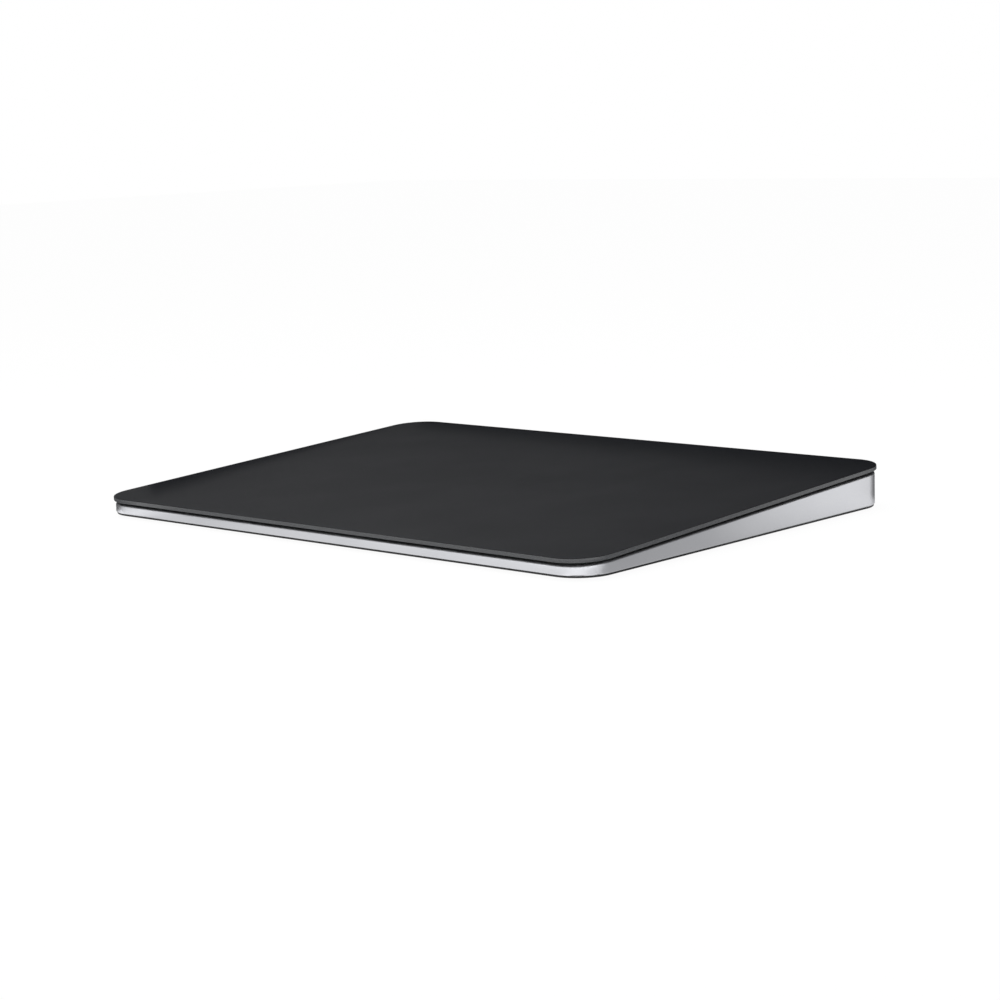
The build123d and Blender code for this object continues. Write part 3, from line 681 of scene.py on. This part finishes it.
def make_wire(name, node):
    """Enamelled wire whose turns follow the coil's own rounded outline, layer on layer, with painted
    shade in the grooves between the turns.
    """
    low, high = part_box(node)
    centre, half = (low + high) / 2, (high - low) / 2
    wire = Finish(name, Metallic=0.9, Coat_Weight=0.5, Coat_Roughness=0.15)
    round_end = half.x / 2
    out_x = abs(wire.along(0) - centre.x) - (half.x - round_end)
    out_y = abs(wire.along(1) - centre.y) - (half.y - round_end)
    beside_x, beside_y = out_x.most(0.0), out_y.most(0.0)
    corner = (beside_x**2 + beside_y**2) ** 0.5
    outward = corner + out_x.most(out_y).least(0.0)
    upward = wire.along(2) - wire.along(1) * sin(tilt) / cos(tilt)
    turns = wire.waves(outward, wire_pitch) * 0.5 + wire.waves(upward, wire_pitch) * 0.5
    lacquer = wire.grain(lacquer_size)
    # The grooves between the turns take a darker colour as painted shade, and the turns also stand out in
    # relief.
    wire.show(
        Base_Color=wire.colour(wire.spread(turns, 0.0, 1.0, 0.15, 0.6), painted_groove_shade, wire_colour),
        Roughness=wire.spread(lacquer, 0.24, 0.38),
        Normal=wire.relief(turns, wire_pitch / 4),
    )
    return wire


for place in ("outer_left", "inner_left", "inner_right", "outer_right"):
    node = f"haptic_coil_{place}"
    winding = joined_copy(node, f"coil_winding_{place}")
    settle(winding, make_wire(f"enamelled_wire_{place}", node), "housing", "copper", node)

# Touch stack
# Under the glass: black adhesive film, the sensor board with its controllers and plug, and a back
# plate of rolled steel. The iron plate that the coils pull on is welded to the back plate.
dress(tape, "glass_bond")
dress(board, "sensor_board")
dress(epoxy, "touch_chips")
dress(resin, "sensor_connector")
dress(rolled, "touch_back_plate")

# Touch plate
# A sheet of glass, printed black behind. Its face is etched matt, and its edges are ground with
# a small bevel and polished.
face_colour = (0.0160, 0.0173, 0.0215, 1)
face_touched = (0.0190, 0.0203, 0.0246, 1)
edge_colour = (0.101, 0.105, 0.112, 1)
edge_ground = (0.129, 0.134, 0.142, 1)
print_colour = (0.004, 0.004, 0.005, 1)
etch_grain = 0.00006
etch_depth = 0.0000006
touch_size = 0.022
ground_grain = 0.00035
polish_trace = 0.0005
polish_depth = 0.000002
coat_size = 0.001
coat_depth = 0.000004
corner_radius = 0.009
corner_steps = 24
glass_bevel = 0.00012
bevel_steps = 3
glass_turn = radians(40)

etched = Finish("etched_face", Specular_IOR_Level=0.5)
touched = etched.spread(etched.grain(touch_size, 4.0), 0.0, 1.0, 0.4, 0.7)
etch = etched.grain(etch_grain, 2.0)
etched.show(
    Base_Color=etched.colour(touched, face_colour, face_touched),
    Roughness=etched.spread(etch, 0.40, 0.48) - touched * 0.025,
    Normal=etched.relief(etch, etch_depth),
)
polished = Finish("polished_edge", Specular_IOR_Level=0.5)
ground = polished.grain(ground_grain, 4.0)
polished.show(
    Base_Color=polished.colour(polished.spread(ground, 0.0, 1.0), edge_colour, edge_ground),
    Roughness=polished.spread(ground, 0.08, 0.16),
    Normal=polished.relief(ground, polish_depth),
)
bevelled = Finish("polished_bevel", Specular_IOR_Level=0.5)
trace = bevelled.grain(polish_trace, 4.0)
bevelled.show(
    Base_Color=bevelled.colour(bevelled.spread(trace, 0.0, 0.6), print_colour, face_colour),
    Roughness=bevelled.spread(trace, 0.08, 0.2),
    Normal=bevelled.relief(trace, polish_depth),
)
black_print = Finish("black_print", Specular_IOR_Level=0.08)
coat = black_print.grain(coat_size)
black_print.show(
    Base_Color=black_print.colour(black_print.spread(coat, 0.0, 0.5), print_colour, face_colour),
    Roughness=black_print.spread(coat, 0.35, 0.5),
    Normal=black_print.relief(coat, coat_depth),
)

glass_low, glass_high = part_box("touch_glass")
glass_size = glass_high - glass_low
glass_length = (glass_size.y * cos(tilt) - glass_size.z * sin(tilt)) / cos(2 * tilt)
glass_thickness = (glass_size.z * cos(tilt) - glass_size.y * sin(tilt)) / cos(2 * tilt)

bpy.ops.object.select_all(action="DESELECT")
bpy.ops.mesh.primitive_cube_add(size=1)
glass = bpy.context.object
glass.name = "glass_plate"
glass.scale = (glass_size.x, glass_length, glass_thickness)
bpy.ops.object.transform_apply(location=True, rotation=True, scale=True)


def select_edges(piece, wanted):
    """Selects the edges of a piece whose two ends answer to wanted, and nothing else."""
    bpy.ops.object.mode_set(mode="EDIT")
    bpy.ops.mesh.select_mode(type="EDGE")
    bpy.ops.mesh.select_all(action="DESELECT")
    bpy.ops.object.mode_set(mode="OBJECT")
    points = piece.data.vertices
    for edge in piece.data.edges:
        first, last = (points[i].co for i in edge.vertices)
        edge.select = wanted(first, last)
    bpy.ops.object.mode_set(mode="EDIT")


def stands_upright(first, last):
    return abs(first.z - last.z) > glass_thickness / 2


def bounds_a_face(first, last):
    level = abs(first.z - last.z) < glass_bevel
    return level and abs(abs(first.z) - glass_thickness / 2) < glass_bevel


select_edges(glass, stands_upright)
bpy.ops.mesh.bevel(offset=corner_radius, segments=corner_steps, profile=0.5)
select_edges(glass, bounds_a_face)
bpy.ops.mesh.bevel(offset=glass_bevel, segments=bevel_steps, profile=0.5)
bpy.ops.object.mode_set(mode="OBJECT")
glass.rotation_euler = (tilt, 0, 0)
glass.location = (glass_low + glass_high) / 2
bpy.ops.object.transform_apply(location=True, rotation=True, scale=True)
ease_shading(glass, glass_turn)
settle(glass, etched, "touch_plate", "touch_glass", "touch_glass")

# The further a face of the glass turns from upwards, the later its finish comes in this list.
for finish in (bevelled, polished, black_print):
    glass.data.materials.append(finish.material)
slope_normal = Vector((0, -sin(tilt), cos(tilt)))
lowest_facing = (0.999, 0.3, -0.999, -1.1)
for face in glass.data.polygons:
    upward = face.normal.dot(slope_normal)
    face.material_index = next(i for i, least in enumerate(lowest_facing) if upward > least)

# Base plate
# A thin moulded sheet of dark plastic glued up into the body, with a fine spark texture and a
# shallow seat for each foot.
plastic_colour = (0.016, 0.016, 0.017, 1)
plastic_scuffed = (0.045, 0.045, 0.048, 1)
spark_grain = 0.0004
spark_depth = 0.00001
scuff_size = 0.004
scuff_reach = 0.0003

plastic = Finish("moulded_plastic", Specular_IOR_Level=0.4)
spark = plastic.grain(spark_grain, 4.0)
scuff = plastic.spread(plastic.grain(scuff_size, 6.0), 0.0, 0.4, 0.5, 0.8)
scuffed = plastic.edges(scuff_reach) * 0.6 + scuff
plastic.show(
    Base_Color=plastic.colour(scuffed, plastic_colour, plastic_scuffed),
    Roughness=plastic.spread(spark, 0.48, 0.62) - scuffed * 0.08,
    Normal=plastic.relief(spark, spark_depth),
)
base = joined_copy("base_plate", "base_sheet")
settle(base, plastic, "housing", "base_plastic", "base_plate")
dress(tape, "base_adhesive")

# Feet
# Four discs of soft rubber glued into their seats, with a rounded rim and a slightly hollow
# face that grips the desk.
rubber_colour = (0.012, 0.012, 0.013, 1)
rubber_dusty = (0.05, 0.049, 0.047, 1)
dust_size = 0.003
skin_grain = 0.00025
skin_depth = 0.000008
foot_sides = 72
foot_rim = 0.00028
foot_rim_steps = 6
foot_ring_share = 0.16
foot_hollow = 0.00005
foot_turn = radians(50)
face_on = 0.999

rubber = Finish("foot_rubber", Specular_IOR_Level=0.35)
dust = rubber.spread(rubber.grain(dust_size, 6.0), 0.0, 0.6, 0.5, 0.8)
skin = rubber.grain(skin_grain)
rubber.show(
    Base_Color=rubber.colour(dust, rubber_colour, rubber_dusty),
    Roughness=rubber.spread(skin, 0.6, 0.78),
    Normal=rubber.relief(skin, skin_depth),
)


def make_foot(name, node):
    """A disc in the place of a solid, with a rounded rim and a slightly hollow face."""
    low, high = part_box(node)
    centre = (low + high) / 2
    radius = (high.x - low.x) / 2
    bpy.ops.object.select_all(action="DESELECT")
    bpy.ops.mesh.primitive_cylinder_add(
        vertices=foot_sides, radius=radius, depth=high.z - low.z, location=centre
    )
    disc = bpy.context.object
    disc.name = name
    select_faces(disc, lambda face: face.normal.z < -square_on)
    bpy.ops.mesh.bevel(offset=foot_rim, segments=foot_rim_steps, profile=0.5)
    bpy.ops.object.mode_set(mode="OBJECT")
    select_faces(disc, lambda face: face.normal.z < -face_on)
    bpy.ops.mesh.inset(thickness=foot_ring_share * radius)
    bpy.ops.mesh.inset(thickness=2 * foot_hollow)
    bpy.ops.transform.translate(value=(0, 0, foot_hollow))
    bpy.ops.object.mode_set(mode="OBJECT")
    bpy.ops.object.transform_apply(location=True, rotation=True, scale=True)
    ease_shading(disc, foot_turn)
    return disc


for corner in corners:
    foot = make_foot(f"rubber_foot_{corner}", f"foot_{corner}")
    settle(foot, rubber, "housing", "foot_rubber", f"foot_{corner}")

# Studio
# A pale floor under a white surround. Cards that only reflections show shape what the metal and
# the glass mirror, and one wide lamp overhead lights the rest with the surround.
room_light = 0.45
floor_pale = 0.8
floor_lit_share = 0.92
floor_glow = 1.04
floor_mirrored = 0.55
floor_side = 4.0
floor_drop = 0.00002
lamp_place = (-0.05, -0.1, 0.6)
lamp_side = 0.5
lamp_power = 1.8

surround = bpy.data.worlds.new("white_surround")
bpy.context.scene.world = surround
surround.use_nodes = True


def seen_rays(tree):
    """A socket that is 1 for the rays by which the eye, metal and glass see the surround."""
    rays = tree.nodes.new("ShaderNodeLightPath")
    total = rays.outputs["Is Camera Ray"]
    for kind in ("Is Glossy Ray", "Is Transmission Ray"):
        most = tree.nodes.new("ShaderNodeMath")
        most.operation = "MAXIMUM"
        tree.links.new(total, most.inputs[0])
        tree.links.new(rays.outputs[kind], most.inputs[1])
        total = most.outputs[0]
    return total


tree = surround.node_tree
ambient = tree.nodes["Background"]
ambient.inputs["Color"].default_value = (1, 1, 1, 1)
ambient.inputs["Strength"].default_value = room_light
white = tree.nodes.new("ShaderNodeBackground")
white.inputs["Strength"].default_value = 1.0
white.inputs["Color"].default_value = (1, 1, 1, 1)
choice = tree.nodes.new("ShaderNodeMixShader")
tree.links.new(seen_rays(tree), choice.inputs[0])
tree.links.new(ambient.outputs[0], choice.inputs[1])
tree.links.new(white.outputs[0], choice.inputs[2])
tree.links.new(choice.outputs[0], tree.nodes["World Output"].inputs["Surface"])

bpy.ops.object.select_all(action="DESELECT")
bpy.ops.mesh.primitive_plane_add(size=floor_side, location=(0, 0, -floor_drop))
floor = bpy.context.object
floor.name = "studio_floor"
paper = bpy.data.materials.new("pale_floor")
paper.use_nodes = True
tree = paper.node_tree
tree.nodes.remove(tree.nodes["Principled BSDF"])
matt = tree.nodes.new("ShaderNodeBsdfDiffuse")
matt.inputs["Color"].default_value = (floor_pale, floor_pale, floor_pale, 1)
lit = tree.nodes.new("ShaderNodeEmission")
lit.inputs["Color"].default_value = (1, 1, 1, 1)
glow = tree.nodes.new("ShaderNodeMapRange")
glow.inputs[3].default_value = floor_mirrored
glow.inputs[4].default_value = floor_glow
tree.links.new(tree.nodes.new("ShaderNodeLightPath").outputs["Is Camera Ray"], glow.inputs[0])
tree.links.new(glow.outputs[0], lit.inputs["Strength"])
share = tree.nodes.new("ShaderNodeMath")
share.operation = "MULTIPLY"
share.inputs[1].default_value = floor_lit_share
tree.links.new(seen_rays(tree), share.inputs[0])
choice = tree.nodes.new("ShaderNodeMixShader")
tree.links.new(share.outputs[0], choice.inputs[0])
tree.links.new(matt.outputs[0], choice.inputs[1])
tree.links.new(lit.outputs[0], choice.inputs[2])
sides = tree.nodes.new("ShaderNodeNewGeometry")
clear = tree.nodes.new("ShaderNodeBsdfTransparent")
one_sided = tree.nodes.new("ShaderNodeMixShader")
tree.links.new(sides.outputs["Backfacing"], one_sided.inputs[0])
tree.links.new(choice.outputs[0], one_sided.inputs[1])
tree.links.new(clear.outputs[0], one_sided.inputs[2])
tree.links.new(one_sided.outputs[0], tree.nodes["Material Output"].inputs["Surface"])
floor.data.materials.append(paper)

lamp = bpy.data.lights.new("overhead_lamp", "AREA")
lamp.size = lamp_side
lamp.energy = lamp_power
lamp_holder = bpy.data.objects.new("overhead_lamp", lamp)
bpy.context.scene.collection.objects.link(lamp_holder)
lamp_holder.location = lamp_place
lamp_holder.rotation_euler = Vector(lamp_place).to_track_quat("Z", "Y").to_euler()
lamp_holder.visible_glossy = False


def hang_card(name, place, width, height, turn, levels):
    """A card seen only in reflections, whose brightness runs from one level to the other."""
    bpy.ops.object.select_all(action="DESELECT")
    bpy.ops.mesh.primitive_plane_add(size=1, location=place, rotation=turn)
    card = bpy.context.object
    card.name = name
    card.scale = (width, height, 1)
    paint = bpy.data.materials.new(name)
    paint.use_nodes = True
    nodes, links = paint.node_tree.nodes, paint.node_tree.links
    nodes.remove(nodes["Principled BSDF"])
    split = nodes.new("ShaderNodeSeparateXYZ")
    links.new(nodes.new("ShaderNodeTexCoord").outputs["UV"], split.inputs[0])
    ramp = nodes.new("ShaderNodeMapRange")
    ramp.inputs[3].default_value, ramp.inputs[4].default_value = levels
    links.new(split.outputs[0], ramp.inputs[0])
    glow = nodes.new("ShaderNodeEmission")
    links.new(ramp.outputs[0], glow.inputs["Strength"])
    links.new(glow.outputs[0], nodes["Material Output"].inputs["Surface"])
    card.data.materials.append(paint)
    card.visible_camera = False
    card.visible_diffuse = False
    card.visible_transmission = False
    card.visible_shadow = False


# Cards hang over, behind and beside the trackpad. Each has its place, width, height, turn and
# levels. The glow card gives the glass a soft sheen, and the others are dark.
upright = radians(90)
hung_cards = {
    "ceiling_card": ((0, 0, 0.45), 2.4, 2.4, (0, 0, 0), (0.03, 0.03)),
    "back_card": ((-0.35, 0.45, 0.28), 1.6, 0.56, (upright, 0, 0), (0.02, 0.02)),
    "glow_card": ((-0.22, 0.29, 0.235), 0.42, 0.20, (radians(115), 0, radians(43)), (0.50, 0.02)),
    "rear_card": ((-0.008, 0.069, 0.0182), 0.166, 0.015, (upright, 0, 0), (0.003, 0.003)),
    "left_card": ((-0.089, 0.018, 0.0128), 0.104, 0.009, (upright, 0, upright), (0.003, 0.003)),
}
for name, (place, width, height, turn, levels) in hung_cards.items():
    hang_card(name, place, width, height, turn, levels)

# Low strips close round the body, from behind its left side by the front to behind its right.
# Each stop is a place on the floor and the brightness there.
strip_height = 0.012
front_strip_height = 0.008
front_strip_y = -0.071
strip_stops = [
    (-0.094, -0.024, 0.05),
    (-0.094, -0.058, 0.10),
    (-0.087, -0.068, 0.30),
    (-0.080, -0.071, 1.40),
    (-0.062, -0.071, 0.60),
    (0.000, -0.071, 0.92),
    (0.040, -0.071, 0.95),
    (0.094, -0.071, 1.40),
    (0.094, -0.055, 1.50),
    (0.094, -0.043, 0.35),
    (0.094, 0.000, 0.45),
    (0.094, 0.018, 0.63),
    (0.094, 0.037, 0.82),
    (0.094, 0.055, 0.88),
    (0.094, 0.062, 0.98),
    (0.091, 0.071, 0.72),
    (0.084, 0.080, 0.12),
    (0.070, 0.080, 0.10),
    (0.030, 0.080, 0.55),
]
for number, (start, end) in enumerate(zip(strip_stops, strip_stops[1:])):
    run = Vector(end[:2]) - Vector(start[:2])
    middle = (Vector(end[:2]) + Vector(start[:2])) / 2
    in_front = start[1] == end[1] == front_strip_y
    height = front_strip_height if in_front else strip_height
    hang_card(
        f"strip_card_{number}",
        (middle.x, middle.y, height / 2),
        run.length,
        height,
        (upright, 0, atan2(run.y, run.x)),
        (start[2], end[2]),
    )

# Cards lie on the floor round the body, because the lower part of each wall mirrors the floor. Each
# has its place, its width and height, its turn on the floor and its levels.
floor_cards = {
    "front_floor_card": ((0.022, -0.07925, 0.0002), 0.166, 0.0475, 0, (0.70, 0.88)),
    "bright_floor_card": ((-0.0710, -0.07925, 0.0002), 0.020, 0.0475, 0, (1.40, 0.55)),
    "left_floor_card": ((-0.0930, -0.0485, 0.0002), 0.039, 0.028, radians(90), (0.08, 0.08)),
    "corner_floor_card": ((0.0827, -0.0601, 0.0003), 0.012, 0.018, radians(45), (1.15, 0.65)),
    "near_floor_card": ((0.104, -0.030, 0.0002), 0.056, 0.046, radians(90), (0.37, 0.46)),
    "far_floor_card": ((0.104, 0.031, 0.0002), 0.066, 0.046, radians(90), (0.48, 0.90)),
    "rear_floor_card": ((0.058, 0.082, 0.0002), 0.056, 0.036, 0, (0.52, 0.02)),
}
for name, (place, width, height, turn, levels) in floor_cards.items():
    hang_card(name, place, width, height, (0, 0, turn), levels)

# Camera
# It stands a little over half a metre off the near corner, low over the desk.
camera_place = (0.39614897, -0.42913791, 0.09873527)
camera_aim = (0.00248886, 0.00176128, 0.00274423)
camera_roll = radians(-1.8211)
camera_lens = 86.244
film_width = 36.0
nearest_seen = 0.01
farthest_seen = 20

lens = bpy.data.cameras.new("camera")
lens.lens = camera_lens
lens.sensor_width = film_width
lens.clip_start = nearest_seen
lens.clip_end = farthest_seen
camera = bpy.data.objects.new("camera", lens)
bpy.context.scene.collection.objects.link(camera)
camera.location = camera_place
camera.rotation_mode = "QUATERNION"
back = (Vector(camera_place) - Vector(camera_aim)).normalized()
camera.rotation_quaternion = back.to_track_quat("Z", "Y") @ Quaternion((0, 0, 1), camera_roll)
bpy.context.scene.camera = camera
bpy.context.scene.view_settings.view_transform = "Standard"
